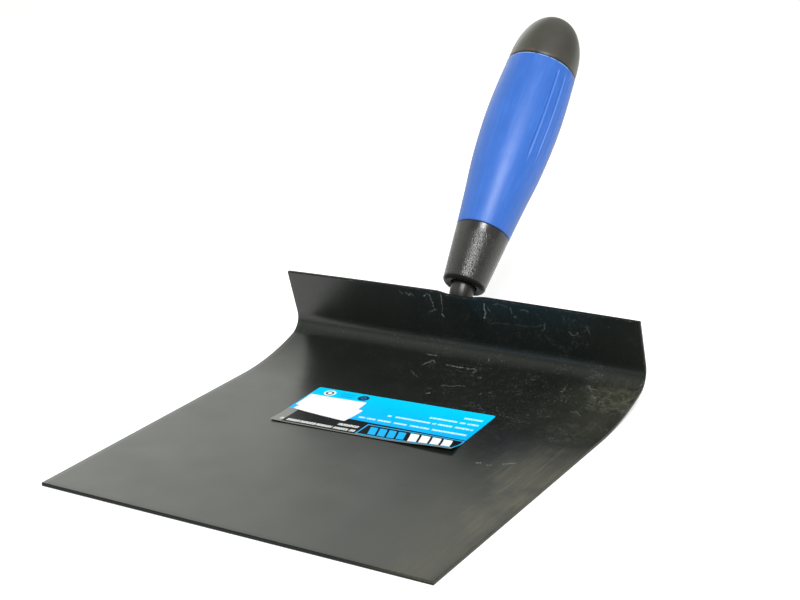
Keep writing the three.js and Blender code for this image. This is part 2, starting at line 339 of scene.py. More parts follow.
# ---- The handle's pieces ----
def core_mesh():
    bore = TANG_RADIUS + GAP
    bore_end = TANG_IN_HANDLE + GAP
    socket = SPIGOT_RADIUS + GAP
    back = GRIP_END - GAP
    edge = 0.25
    mouth = bore + 0.05
    mouth_edge = 0.8
    dish = 0.4
    step = 0.6
    lip_centre = outline_radius(LIP_RADIUS) - LIP_RADIUS
    shoulder = outline_radius(FERRULE_LENGTH) - edge
    profile = [(0, bore_end), (bore, bore_end), (bore, 2.2), (mouth, 1.6)]
    profile += arc(mouth + mouth_edge, dish + mouth_edge, mouth_edge, 180, 270, 5)
    profile += arc(lip_centre, LIP_RADIUS, LIP_RADIUS, -90, 0, 9)
    profile += outline_points(LIP_RADIUS + step, FERRULE_LENGTH - edge, step)
    profile += arc(shoulder, FERRULE_LENGTH - edge, edge, 20, 90, 4)
    profile += outline_points(FERRULE_LENGTH, back, 4, GRIP_WALL + GAP)
    profile += [(socket, back), (socket, bore_end + CORE_WEB), (0, bore_end + CORE_WEB)]
    return revolved_mesh("core", profile, even_angles(144))


def groove_centres():
    centres = np.radians(GROOVE_ANGLES)
    return np.concatenate([centres, math.pi - centres])


def groove_depth(radius, station, angle):
    """Finger grooves down both flanks, which fade out slowly towards the ferrule."""
    outside = smoothstep(radius, outline_radius(station) - 0.8, outline_radius(station) - 0.1)
    fade = smoothstep(station, GROOVE_START, GROOVE_START + GROOVE_FADE_IN)
    fade = fade * (1 - smoothstep(station, GROOVE_STOP - GROOVE_FADE_OUT, GROOVE_STOP))
    total = np.zeros(np.broadcast_shapes(station.shape, angle.shape))
    for centre in groove_centres():
        turn = (angle - centre + math.pi) % (2 * math.pi) - math.pi
        off = np.clip(np.abs(turn) * radius / GROOVE_HALF, 0, 1)
        total = total + 0.5 + 0.5 * np.cos(math.pi * off)
    return GROOVE_DEPTH * total * fade * outside


def grip_mesh():
    front = FERRULE_LENGTH + GAP
    seam = 0.1
    back = GRIP_END - seam
    edge = 0.35
    roll = 0.7
    swell = 0.12
    profile = arc(outline_radius(front) - edge, front + edge, edge, -90, -8, 5)
    profile += outline_points(front + 1, back - 2.5, 0.9)
    profile += arc(outline_radius(back) - roll + swell, back - roll, roll, 12, 90, 8)
    profile += outline_points(front, back, 4, GRIP_WALL)[::-1]
    # The mesh is finer across each groove.
    across_groove = np.radians(np.linspace(-3.2, 3.2, 21))
    angles = [even_angles(120)]
    angles += [centre + across_groove for centre in groove_centres()]
    angles = np.unique(np.round(np.concatenate(angles), 3))
    return revolved_mesh("grip", profile, angles, closed=True, sink=groove_depth)


def cap_mesh():
    rise = HANDLE_LENGTH - GRIP_END
    step_in = 0.08
    shoulder = SHOULDER_RADIUS - step_in
    edge = 0.4
    spigot_end = GRIP_END - SPIGOT_LENGTH
    profile = [(0, spigot_end), (SPIGOT_RADIUS, spigot_end), (SPIGOT_RADIUS, GRIP_END)]
    profile += arc(shoulder - edge, GRIP_END + edge, edge, -90, -10, 5)
    for turn in np.radians(np.linspace(2.5, 90, 60)):
        along = GRIP_END + rise * math.sin(turn) ** (2 / DOME_POWER)
        outward = shoulder * max(math.cos(turn), 0) ** (2 / DOME_POWER)
        if along > GRIP_END + edge:
            profile.append((outward, along))
    # The dome closes exactly on the axis.
    profile[-1] = (0, HANDLE_LENGTH)
    return revolved_mesh("cap", profile, even_angles(160))


# ---- The tang, welded to the back of the flange ----
SEAT = sheet_point(-BLADE_WIDTH / 2, BEND_END, 0)
SEAT_UP = sheet_point(-BLADE_WIDTH / 2, SHEET_END, 0) - SEAT
SEAT_UP = SEAT_UP / np.linalg.norm(SEAT_UP)
SEAT_OUT = np.array([0, SEAT_UP[2], -SEAT_UP[1]])
SEAT = SEAT * np.array([0, 1, 1])


def seat_point(x, up, out):
    x, up, out = (np.asarray(v, float)[..., None] for v in np.broadcast_arrays(x, up, out))
    return SEAT - x * ACROSS + up * SEAT_UP + out * SEAT_OUT


def turn_about_x(points, angle):
    y = points[..., 1] * np.cos(angle) - points[..., 2] * np.sin(angle)
    z = points[..., 1] * np.sin(angle) + points[..., 2] * np.cos(angle)
    return np.stack([points[..., 0], y, z], axis=-1)


def rod_mesh():
    turn = math.acos(float(AXIS @ SEAT_UP))
    mouth_out = float((MOUTH - SEAT) @ SEAT_OUT)
    radius = (mouth_out - (GAP + TANG_RADIUS - TANG_FLAT)) / (1 - math.cos(turn))
    bend = radius * turn
    centre = MOUTH + radius * np.array([0, AXIS[2], -AXIS[1]])
    foot = -bend - TANG_FOOT
    rim = 0.5
    rings = [(0, foot)]
    rings += [(TANG_RADIUS - rim + r, s) for r, s in arc(0, foot + rim, rim, -90, 0, 5)]
    point_start = TANG_IN_HANDLE - TANG_POINT
    stations = stretches((foot + 1, -bend, 9), (-bend, 0, 40), (0, point_start, 20))
    rings += [(TANG_RADIUS, s) for s in stations]
    rings += [(TANG_RADIUS - TANG_POINT, TANG_IN_HANDLE), (0, TANG_IN_HANDLE)]
    rings = np.array(rings)
    angles = even_angles(96)[None, :]
    r = rings[:, :1]
    station = np.broadcast_to(rings[:, 1:], (len(rings), angles.shape[1]))
    angle = np.clip(-station / radius, 0, turn)
    straight = np.where(station < 0, station + angle * radius, station)
    points = np.stack([r * np.cos(angles), straight, r * np.sin(angles)], axis=-1)
    points = turn_about_x(points, HANDLE_TILT) + MOUTH - centre
    points = turn_about_x(points, angle) + centre
    # The rod's front is ground flat against the flange.
    out = (points - SEAT) @ SEAT_OUT
    points = points + np.maximum(GAP - out, 0)[..., None] * SEAT_OUT
    coordinates = np.stack([np.broadcast_to(angles, station.shape), station, out], axis=-1)
    faces = grid_faces(*station.shape, wrap_columns=True)
    return make_mesh("tang", points, faces, coordinates=coordinates)


def palm_mesh():
    """The flattened palm at the foot of the tang, with softened edges."""
    soft = 0.5
    w = PALM_WIDTH / 2 - PALM_CORNER
    h = PALM_HEIGHT / 2 - PALM_CORNER
    middle = PALM_LIFT + PALM_HEIGHT / 2
    face = GAP + PALM_THICKNESS
    layers = [(0, GAP), *[(soft - r, face - soft + z) for r, z in arc(0, 0, soft, 0, 90, 5)]]
    rings = []
    for inset, out in layers:
        outline = []
        for cx, cy, start in ((w, h, 0), (-w, h, 90), (-w, -h, 180), (w, -h, 270)):
            outline += arc(cx, middle + cy, PALM_CORNER - inset, start, start + 90, 9)
        rings.append([(x, y, out) for x, y in outline])
    rings = np.array(rings)
    points = seat_point(*np.moveaxis(rings, -1, 0))
    faces = tube_faces(*points.shape[:2])
    return make_mesh("palm", points, faces, coordinates=np.zeros_like(points))


def joined(name, first, second):
    """One closed mesh from two that overlap."""
    objects = [add_object(mesh.name, mesh) for mesh in (first, second)]
    union = objects[0].modifiers.new("union", "BOOLEAN")
    union.operation = "UNION"
    union.solver = "EXACT"
    union.object = objects[1]
    bpy.context.view_layer.update()
    whole = objects[0].evaluated_get(bpy.context.evaluated_depsgraph_get())
    mesh = bpy.data.meshes.new_from_object(whole)
    mesh.name = name
    for item in objects:
        bpy.data.objects.remove(item)
    mesh.shade_smooth()
    mesh.set_sharp_from_angle(angle=math.radians(35))
    return mesh


def weld_mesh(side):
    """A fillet bead beside the palm, with the crescent ripples of its weld pool."""
    steps = 90
    section = 13
    end_run = 1.6
    end_size = 0.15
    ripple_pitch = 1.05
    ripple_height = 0.05
    unevenness = 0.03
    fullness = 0.4
    upper_end = PALM_LIFT + (PALM_HEIGHT + WELD_LENGTH) / 2
    along = np.linspace(0, 1, steps)[:, None]
    u = np.linspace(0, 1, section)[None, :]
    start = np.minimum(along, 1 - along) * WELD_LENGTH
    rounding = np.sqrt(1 - (1 - np.clip(start / end_run, 0, 1)) ** 2)
    taper = end_size + (1 - end_size) * rounding
    bow = 1 - (2 * u - 1) ** 2
    ripple = np.abs(np.sin(math.pi * (along * WELD_LENGTH / ripple_pitch + 0.45 * bow)))
    swell = 1 + ripple_height * ripple * bow + unevenness * np.sin(along * 9)
    x = WELD_LEG * taper * (1 - u) * (1 + fullness * u) * swell
    out = WELD_LEG * taper * u * (1 + fullness * (1 - u)) * swell
    y = upper_end - along * WELD_LENGTH + 0 * u
    corner = np.zeros_like(along)
    x = np.hstack([x, corner])
    out = np.hstack([out, corner])
    y = np.hstack([y, y[:, :1]])
    points = seat_point(side * (PALM_WIDTH / 2 + GAP + x), y, GAP + out)
    return make_mesh("weld", points, tube_faces(*points.shape[:2]), sharp=50)


# ---- The stickers ----
def film_mesh(name, sticker, lift):
    """A thin rectangle with rounded corners that follows the pan. lift(x, y) raises its face."""
    width, depth = sticker["width"], sticker["depth"]
    corner = 0.8
    rows_between = 48
    columns = 97
    ends = depth / 2 - np.array([0, 0.06, 0.2, 0.42, corner])
    middle = depth / 2 - 1.5 * corner
    y = np.linspace(-middle, middle, rows_between)
    y = np.concatenate([-ends, y, ends[::-1]])[:, None]
    reach = np.clip(corner - (depth / 2 - np.abs(y)), 0, corner)
    half = width / 2 - corner + np.sqrt(corner**2 - reach**2)
    x = half * np.linspace(-1, 1, columns)[None, :]
    y = y + 0 * x
    turn = math.radians(sticker["turn"])
    world_x = sticker["x"] + x * math.cos(turn) - y * math.sin(turn)
    world_y = sticker["y"] + x * math.sin(turn) + y * math.cos(turn)
    bottom = profile_at(FLAT_LENGTH + world_y)[1] + sticker["base"] + lift(x, y)
    top = bottom + sticker["thickness"]
    points = np.array([np.stack([world_x, world_y, z], axis=-1) for z in (top, bottom)])
    rows = len(x)
    count = rows * columns
    faces = grid_faces(rows, columns)
    faces += [tuple(count + i for i in face) for face in faces]
    rim = list(range(columns))
    rim += [i * columns + columns - 1 for i in range(1, rows)]
    rim += [(rows - 1) * columns + j for j in range(columns - 2, -1, -1)]
    rim += [i * columns for i in range(rows - 2, 0, -1)]
    for a, b in zip(rim, rim[1:] + rim[:1]):
        faces.append((a, b, count + b, count + a))
    coordinates = np.stack([x, y, np.zeros_like(x)], axis=-1)
    return make_mesh(name, points, faces, coordinates=[coordinates] * 2)


def label_lift(x, y):
    """The label's front edge has come away from the pan, most of all at its right corner."""
    front = smoothstep(-y, 8, 18.5)
    height = 0.2 + 1.2 * smoothstep(x, 8, 40) + 0.2 * smoothstep(-x, 30, 40)
    return height * front**1.5 + 0.02 * (1 + np.sin(0.21 * x + 0.35 * y))


def price_lift(x, y):
    curl = smoothstep(np.hypot(x / 13, y / 6), 0.95, 1.4)
    return 0.1 * curl + 0.01 * (1 + np.sin(0.4 * x))


# ---- Materials ----
class Nodes:
    """Adds shader nodes to a tree. All but feed, drive and add return outputs for other nodes."""

    def __init__(self, tree):
        self.tree = tree
        self.tree.nodes.clear()

    def feed(self, socket, value):
        if isinstance(value, bpy.types.NodeSocket):
            self.tree.links.new(value, socket)
        elif socket.type == "RGBA":
            socket.default_value = (*value, 1)
        else:
            socket.default_value = value

    def drive(self, node, **inputs):
        """Feeds a node's inputs, whose names have _ for each space."""
        for key, value in inputs.items():
            self.feed(node.inputs[key.replace("_", " ")], value)

    def add(self, kind, inputs=None, **settings):
        node = self.tree.nodes.new(kind)
        for key, value in settings.items():
            setattr(node, key, value)
        for key, value in (inputs or {}).items():
            self.feed(node.inputs[key], value)
        return node

    def math(self, operation, *values, clamp=False):
        node = self.add("ShaderNodeMath", operation=operation, use_clamp=clamp)
        for socket, value in zip(node.inputs, values):
            self.feed(socket, value)
        return node.outputs[0]

    def times(self, *values):
        result = values[0]
        for value in values[1:]:
            result = self.math("MULTIPLY", result, value)
        return result

    def vector(self, operation, *values):
        node = self.add("ShaderNodeVectorMath", operation=operation)
        for socket, value in zip(node.inputs, values):
            self.feed(socket, value)
        scalar = operation in ("DOT_PRODUCT", "DISTANCE")
        return node.outputs["Value" if scalar else "Vector"]

    def scaled(self, vector, factor):
        node = self.add("ShaderNodeVectorMath", operation="SCALE")
        self.feed(node.inputs[0], vector)
        self.feed(node.inputs["Scale"], factor)
        return node.outputs["Vector"]

    def parts(self, vector):
        return self.add("ShaderNodeSeparateXYZ", {"Vector": vector}).outputs

    def combined(self, x, y, z):
        return self.add("ShaderNodeCombineXYZ", {"X": x, "Y": y, "Z": z}).outputs[0]

    def ramp(self, value, low, high, start=0, end=1, smooth=True):
        """start below low, end above high, and a smooth change between them."""
        kind = "SMOOTHSTEP" if smooth else "LINEAR"
        inputs = {"Value": value, "From Min": low, "From Max": high, "To Min": start, "To Max": end}
        return self.add("ShaderNodeMapRange", inputs, interpolation_type=kind).outputs[0]

    def band(self, value, low, high, soft):
        """1 between low and high, 0 outside, with soft edges."""
        rise = self.ramp(value, low - soft, low + soft)
        fall = self.ramp(value, high - soft, high + soft)
        return self.math("SUBTRACT", rise, fall)

    def mix(self, factor, a, b):
        node = self.add("ShaderNodeMix", data_type="RGBA")
        self.feed(node.inputs[0], factor)
        self.feed(node.inputs[6], a)
        self.feed(node.inputs[7], b)
        return node.outputs[2]

    def noise(self, vector, scale, detail=2, roughness=0.5, distortion=0):
        inputs = {"Vector": vector, "Scale": scale, "Detail": detail, "Roughness": roughness}
        inputs["Distortion"] = distortion
        return self.add("ShaderNodeTexNoise", inputs).outputs["Fac"]

    def blend(self, share, a, b):
        """a where share is 0, and b where it is 1."""
        rest = self.math("SUBTRACT", 1, share)
        return self.math("ADD", self.times(b, share), self.times(a, rest))

    def bump(self, height, distance, normal=None):
        inputs = {"Height": height, "Distance": distance * MM, "Strength": 1}
        node = self.add("ShaderNodeBump", inputs)
        if normal is not None:
            self.feed(node.inputs["Normal"], normal)
        return node.outputs["Normal"]

    def surface(self):
        """The coordinates that the mesh keeps for its material."""
        return self.add("ShaderNodeAttribute", attribute_name="surface").outputs["Vector"]

    def place(self):
        """The point's place in the part's frame, in millimetres."""
        return self.scaled(self.add("ShaderNodeTexCoord").outputs["Object"], 1 / MM)


def new_material(name, **constants):
    """A material with a Principled shader. Returns the material, its nodes and the shader."""
    material = bpy.data.materials.new(name)
    material.use_nodes = True
    nodes = Nodes(material.node_tree)
    shader = nodes.add("ShaderNodeBsdfPrincipled")
    nodes.drive(shader, **constants)
    nodes.add("ShaderNodeOutputMaterial", {"Surface": shader.outputs[0]})
    return material, nodes, shader


def grey(value, warmth=0):
    return (value * (1 + warmth), value, value * (1 - warmth))


def stroke_mask(nodes, point, strokes):
    """Thin scratches along given strokes: (strength, half width, points)."""
    total = None
    for strength, half, stroke in strokes:
        nearest = None
        for start, end in zip(stroke, stroke[1:]):
            a = Vector((*start, 0))
            span = Vector((*end, 0)) - a
            offset = nodes.vector("SUBTRACT", point, a)
            share = nodes.vector("DOT_PRODUCT", offset, span / span.length_squared)
            share = nodes.math("ADD", share, 0, clamp=True)
            distance = nodes.vector("DISTANCE", offset, nodes.scaled(span, share))
            if nearest is None:
                nearest = distance
            else:
                nearest = nodes.math("MINIMUM", nearest, distance)
        mark = nodes.ramp(nearest, half * 0.4, half, strength, 0)
        total = mark if total is None else nodes.math("MAXIMUM", total, mark)
    return total


# Scratches in the lacquer, as x and distance s along the sheet from its front edge.
SCRATCHES = [
    (1, 0.42, [(14.7, 186.6), (14.2, 184.6), (14.6, 182.4), (13.6, 179.8)]),
    (0.37, 0.3, [(16.2, 185.4), (16.6, 183.4)]),
    (0.64, 0.34, [(-5, 188.4), (-5.6, 183.6)]),
    (0.32, 0.3, [(-5.6, 183.6), (-6, 179.4)]),
    (1, 0.62, [(-6.4, 178.5), (-5.9, 178)]),
    (0.7, 0.34, [(-13.6, 186.4), (-12.4, 187.6), (-10.9, 187.2), (-10.4, 184), (-10, 181.4)]),
    (0.42, 0.4, [(-12.3, 179), (-9.2, 180.4)]),
    (0.53, 0.4, [(-25.4, 187), (-24.6, 185.6)]),
    (0.42, 0.4, [(-22.4, 186.6), (-21.2, 185.4), (-20.2, 186.4), (-19.2, 185.6)]),
    (0.15, 0.3, [(15.4, 177.6), (20, 178.6), (25, 178.7)]),
    (0.15, 0.3, [(27, 178.7), (38, 179.6)]),
    (0.37, 0.35, [(41.4, 181.8), (40.8, 179.4), (39.4, 177.6)]),
    (0.32, 0.35, [(26.6, 186.6), (26.9, 184)]),
    (0.42, 0.45, [(27.6, 182.4), (28.8, 182.7)]),
    (0.27, 0.3, [(18.5, 187.2), (21.5, 187.9), (25.2, 186.7)]),
    (0.37, 0.35, [(31, 186.2), (32.6, 186.6), (34.4, 186)]),
    (0.42, 0.4, [(51.4, 179.4), (52.6, 178), (54, 178.6), (55.4, 179.6)]),
    (0.27, 0.3, [(59.8, 183.6), (60.6, 180.2)]),
    (0.22, 0.3, [(49.6, 186.4), (50, 183.4)]),
    (0.47, 0.4, [(-14.6, 158.9), (-9.4, 158.6)]),
    (0.53, 0.42, [(-12.4, 151.6), (-9.6, 155.4), (-7.6, 154.6)]),
    (0.7, 0.42, [(-2, 154.4), (2.2, 154), (5.4, 153.8)]),
    (0.53, 0.4, [(7.4, 153.6), (10.6, 154.6), (12.6, 153.6), (11.4, 152.2)]),
    (0.37, 0.45, [(3.4, 140), (6.4, 140.6)]),
    (0.42, 0.4, [(7, 140.8), (12.8, 142.2)]),
    (0.22, 0.4, [(-15, 146.6), (-9.6, 143.2)]),
    (0.76, 0.55, [(1.3, 132.4), (1.9, 132.8)]),
    (0.37, 0.5, [(61.6, 156.6), (62.8, 154.2), (65.4, 154.8)]),
    (0.32, 0.45, [(62.4, 137.6), (64.6, 138.4), (67, 136.2)]),
    (0.32, 0.5, [(65.4, 150.8), (66.8, 149.4), (68.2, 150.6)]),
    (0.7, 0.6, [(51.2, 82.9), (52.4, 83.6)]),
    (0.5, 0.5, [(55.6, 83.2), (57, 83.8)]),
    (0.6, 0.55, [(60.4, 86.4), (61.6, 87.2), (63.4, 88.8)]),
]


def rubbed_mask(nodes, x, s, h, cloud, grain):
    """Streaks rubbed along the right side, scuffs at its back corner, and faint smudges."""
    flat = nodes.combined(x, s, 0)
    long_streak = nodes.combined(nodes.times(x, 1.3), nodes.times(s, 0.035), h)
    long_streak = nodes.ramp(nodes.noise(long_streak, 1, 4), 0.38, 0.72)
    fine_streak = nodes.combined(nodes.times(x, 3.6), nodes.times(s, 0.12), h)
    fine_streak = nodes.ramp(nodes.noise(fine_streak, 1, 3), 0.3, 0.7)
    streaks = nodes.times(long_streak, fine_streak)
    streaks = nodes.ramp(streaks, 0, 1, 0.46, 0.88, smooth=False)
    streaks = nodes.times(streaks, nodes.ramp(cloud, 0.35, 0.62, 0.65, 1.25))
    right = nodes.times(nodes.ramp(x, 42, 74), nodes.ramp(s, 75, 125, 1, 0.3))
    right = nodes.times(right, nodes.ramp(s, 0, 55, 0.6, 1))

    ragged = nodes.times(grain, 8)
    corner = nodes.math("ADD", nodes.vector("DISTANCE", flat, (76, 153, 0)), ragged)
    corner = nodes.ramp(corner, 8, 26, 0.8, 0)
    ahead = nodes.math("ADD", nodes.vector("DISTANCE", flat, (70, 121, 0)), ragged)
    ahead = nodes.ramp(ahead, 8, 24, 0.42, 0)
    scuff = nodes.ramp(nodes.noise(flat, 0.3, 5, 0.75, 0.8), 0.38, 0.72, 0.22, 1)
    scuff = nodes.times(nodes.math("MAXIMUM", corner, ahead), scuff)

    smudge = nodes.ramp(nodes.noise(flat, 0.42, 5, 0.75, 0.5), 0.5, 0.7, 0, 0.16)
    smudge = nodes.times(smudge, nodes.ramp(x, -25, 30), nodes.ramp(s, 70, 100))
    rubbed = nodes.math("MAXIMUM", nodes.times(streaks, right), scuff)
    rubbed = nodes.math("MAXIMUM", rubbed, smudge)
    return nodes.times(rubbed, nodes.ramp(s, 153, 167, 1, 0))


def curl_mask(nodes, x, s, deep):
    """Small curly scratches where other tools have rubbed, in patches towards the back."""
    curl = nodes.noise(deep, 0.34, 1, 0.4, 1.6)
    off_line = nodes.math("ABSOLUTE", nodes.math("SUBTRACT", curl, 0.5))
    line = nodes.ramp(off_line, 0.002, 0.011, 1, 0)
    patches = nodes.ramp(nodes.noise(deep, 0.13, 2), 0.5, 0.64)
    worn = nodes.band(s, 112, 187, 12)
    worn = nodes.times(worn, nodes.ramp(x, -30, 30, 0.1, 1), 0.42)
    worn = nodes.math("ADD", worn, 0.06)
    return nodes.times(line, patches, worn, nodes.ramp(s, 163, 172, 1, 0.6))


def scratch_mask(nodes, flat):
    """The placed scratches, made to wander a little and to break up."""
    wander = nodes.add("ShaderNodeTexNoise", {"Vector": flat, "Scale": 0.4, "Detail": 2})
    wander = nodes.vector("SUBTRACT", wander.outputs["Color"], (0.5, 0.5, 0.5))
    wander = nodes.vector("MULTIPLY", wander, (1.8, 1.8, 0))
    strokes = stroke_mask(nodes, nodes.vector("ADD", flat, wander), SCRATCHES)
    return nodes.times(strokes, nodes.ramp(nodes.noise(flat, 1.5, 2, 0.7), 0.4, 0.6, 0.1, 0.9))


def lacquer_material():
    """Satin black lacquer: faint orange peel, scratches, rubbed streaks and worn edges."""
    material, nodes, shader = new_material("satin_black_lacquer", IOR=1.5)
    x, s, h = nodes.parts(nodes.surface())
    flat = nodes.combined(x, s, 0)
    deep = nodes.combined(x, s, nodes.times(h, 25))
    upper = nodes.ramp(h, 0.6, 0.9)
    cloud = nodes.noise(deep, 0.045, 3, 0.6)
    grain = nodes.noise(deep, 1.1, 2, 0.6)
    colour = nodes.mix(cloud, (0.0055, 0.0075, 0.0062), (0.0085, 0.0105, 0.0086))
    rubbed = nodes.times(rubbed_mask(nodes, x, s, h, cloud, grain), upper)
    colour = nodes.mix(nodes.times(rubbed, 0.85), colour, (0.11, 0.106, 0.075))
    curls = curl_mask(nodes, x, s, deep)
    scratches = nodes.math("MAXIMUM", curls, nodes.times(scratch_mask(nodes, flat), upper))
    colour = nodes.mix(scratches, colour, (0.24, 0.26, 0.25))

    # Fine dust specks, and bare grey metal chipped along the edges; on the flange the chips are
    # stronger and stand partly as a painted highlight along its rim.
    specks = nodes.ramp(nodes.noise(deep, 1.6, 0), 0.77, 0.82)
    specks = nodes.times(specks, nodes.ramp(s, 30, 150, 0.25, 1), 0.4)
    colour = nodes.mix(specks, colour, (0.16, 0.16, 0.14))
    ends = nodes.math("MINIMUM", s, nodes.math("SUBTRACT", SHEET_END, s))
    sides = nodes.math("SUBTRACT", BLADE_WIDTH / 2, nodes.math("ABSOLUTE", x))
    edge = nodes.math("MINIMUM", ends, sides)
    worn_edge = nodes.ramp(nodes.noise(deep, 0.35, 4, 0.7), 0.52, 0.66)
    chips_and_rim_highlight = nodes.times(nodes.band(edge, 0.05, 0.34, 0.04), worn_edge)
    # Stronger on the flange, where the light grey is partly a painted highlight on the rim.
    chips_and_rim_highlight = nodes.times(chips_and_rim_highlight, nodes.ramp(s, 150, 170, 0.2, 0.5))
    colour = nodes.mix(chips_and_rim_highlight, colour, (0.15, 0.15, 0.145))

    rough = nodes.ramp(cloud, 0.25, 0.75, 0.29, 0.35)
    rough = nodes.math("ADD", rough, nodes.times(nodes.math("MAXIMUM", rubbed, scratches), 0.22))
    sheen = nodes.ramp(edge, 0.15, 0.45, 0.12, 0.5)
    peel = nodes.bump(nodes.noise(deep, 0.9, 2), 0.006)
    waves = nodes.bump(nodes.noise(deep, 0.03, 1), 0.12, peel)
    normal = nodes.bump(curls, 0.02, waves)
    nodes.drive(
        shader, Base_Color=colour, Roughness=rough, Specular_IOR_Level=sheen, Normal=normal
    )
    return material


def rubber_material():
    """Matt blue soft-touch rubber, with handling dust and dirt in its grooves."""
    material, nodes, shader = new_material("blue_soft_rubber", IOR=1.42)
    place = nodes.place()
    angle, station, depth = nodes.parts(nodes.surface())
    cloud = nodes.noise(place, 0.09, 4, 0.6)
    colour = nodes.mix(cloud, (0.027, 0.108, 0.415), (0.037, 0.136, 0.49))
    lengthwise = nodes.combined(nodes.times(angle, 9), nodes.times(station, 0.06), 0)
    flow = nodes.ramp(nodes.noise(lengthwise, 1, 3), 0.45, 0.75)
    colour = nodes.mix(nodes.times(flow, 0.16), colour, (0.07, 0.24, 0.75))
    dust = nodes.ramp(nodes.noise(place, 2.2, 3, 0.7), 0.6, 0.8)
    upper_end = nodes.ramp(station, 60, 102, 0.1, 0.28)
    colour = nodes.mix(nodes.times(dust, upper_end), colour, (0.3, 0.42, 0.7))
    dirt = nodes.times(nodes.ramp(depth, 0.2, 0.6), 0.2)
    colour = nodes.mix(dirt, colour, (0.01, 0.05, 0.25))
    # Painted highlight: a paler strip along one wall of each groove, standing in for the lit wall.
    groove_wall_highlight = 0
    for centre in groove_centres():
        lower = math.copysign(1, math.cos(centre))
        below = nodes.times(nodes.math("SUBTRACT", centre, angle), lower)
        groove_wall_highlight = nodes.math("MAXIMUM", nodes.band(below, 0.018, 0.058, 0.012), groove_wall_highlight)
    groove_wall_highlight = nodes.times(groove_wall_highlight, nodes.ramp(depth, 0, 0.12), 0.32)
    colour = nodes.mix(groove_wall_highlight, colour, (0.13, 0.31, 0.76))
    seam = nodes.ramp(station, FERRULE_LENGTH + 0.4, FERRULE_LENGTH + 1.3, 0.45, 0)
    colour = nodes.mix(nodes.times(seam, cloud), colour, (0.03, 0.05, 0.12))
    # Painted highlight: a patchy pale line along the sleeve's rolled rim next to the cap.
    rim = nodes.ramp(station, GRIP_END - 0.95, GRIP_END - 0.6)
    rim = nodes.times(rim, nodes.ramp(nodes.noise(place, 0.35, 3), 0.42, 0.58, 0.1, 0.75))
    colour = nodes.mix(rim, colour, (0.3, 0.47, 0.78))
    streaky = nodes.ramp(flow, 0.2, 0.8, 0, 0.06)
    rough = nodes.math("ADD", nodes.ramp(dust, 0, 1, 0.42, 0.56), streaky)
    skin = nodes.bump(nodes.noise(place, 4.5, 2, 0.6), 0.012)
    normal = nodes.bump(nodes.noise(place, 0.22, 2), 0.09, skin)
    nodes.drive(shader, Base_Color=colour, Roughness=rough, Normal=normal)
    return material


def core_material():
    """Charcoal plastic with a spark-eroded texture, and a smoother band beside the sleeve."""
    material, nodes, shader = new_material("charcoal_textured_plastic", IOR=1.5)
    place = nodes.place()
    station = nodes.parts(nodes.surface())[1]
    cloud = nodes.noise(place, 0.2, 3, 0.6)
    colour = nodes.mix(cloud, (0.02, 0.0205, 0.0185), (0.031, 0.031, 0.028))
    pits = nodes.noise(place, 1.7, 2.5, 0.65)
    colour = nodes.mix(nodes.ramp(pits, 0.55, 0.75, 0, 0.25), colour, (0.085, 0.085, 0.08))
    scrape = nodes.noise(place, 0.8, 4, 0.7, 0.8)
    lip = nodes.times(nodes.band(station, 1.6, 3.4, 0.5), nodes.ramp(scrape, 0.5, 0.7), 0.4)
    colour = nodes.mix(lip, colour, (0.11, 0.108, 0.1))
    # Painted shade: the mouth's face and lip round the tang darken to near black, as in the recess.
    colour = nodes.mix(nodes.ramp(station, 0.9, 1.9, 0.85, 0), colour, grey(0.006))
    textured = nodes.ramp(station, 20.4, 23.4, 1, 0.2)
    rough = nodes.ramp(cloud, 0.3, 0.7, 0.2, 0.27)
    sheen = nodes.ramp(station, 0.9, 2.4, 0.05, 0.5)
    fine = nodes.bump(nodes.times(nodes.noise(place, 4.5, 1), textured), 0.02)
    normal = nodes.bump(nodes.times(pits, textured), 0.19, fine)
    nodes.drive(
        shader, Base_Color=colour, Roughness=rough, Specular_IOR_Level=sheen, Normal=normal
    )
    return material


def cap_material():
    """Smooth satin black plastic with a brownish stain above the seam and fine rub marks."""
    material, nodes, shader = new_material("satin_black_plastic", IOR=1.5)
    place = nodes.place()
    angle, station = nodes.parts(nodes.surface())[:2]
    cloud = nodes.noise(place, 0.13, 4, 0.6)
    colour = nodes.mix(cloud, (0.041, 0.04, 0.033), (0.056, 0.054, 0.045))
    stain = nodes.ramp(nodes.noise(place, 0.16, 3, 0.6, 0.5), 0.46, 0.68)
    near_seam = nodes.ramp(station, GRIP_END + 0.6, GRIP_END + 4, 0.85, 0)
    colour = nodes.mix(nodes.times(stain, near_seam), colour, (0.105, 0.062, 0.03))
    # Painted shade: a dark line on the cap just past its seam with the sleeve, where the gap is in
    # shadow.
    seam_shade = nodes.ramp(station, GRIP_END + 0.4, GRIP_END + 0.9, 0.8, 0)
    colour = nodes.mix(seam_shade, colour, grey(0.008))
    rub = nodes.combined(nodes.times(angle, 6), nodes.times(station, 0.8), 0)
    rub = nodes.ramp(nodes.noise(rub, 1, 5, 0.7, 0.6), 0.6, 0.78)
    colour = nodes.mix(nodes.times(rub, 0.16), colour, (0.2, 0.195, 0.18))
    rough = nodes.ramp(cloud, 0.25, 0.75, 0.33, 0.43)
    normal = nodes.bump(nodes.noise(place, 2.6, 3, 0.6), 0.018)
    nodes.drive(shader, Base_Color=colour, Roughness=rough, Normal=normal)
    return material


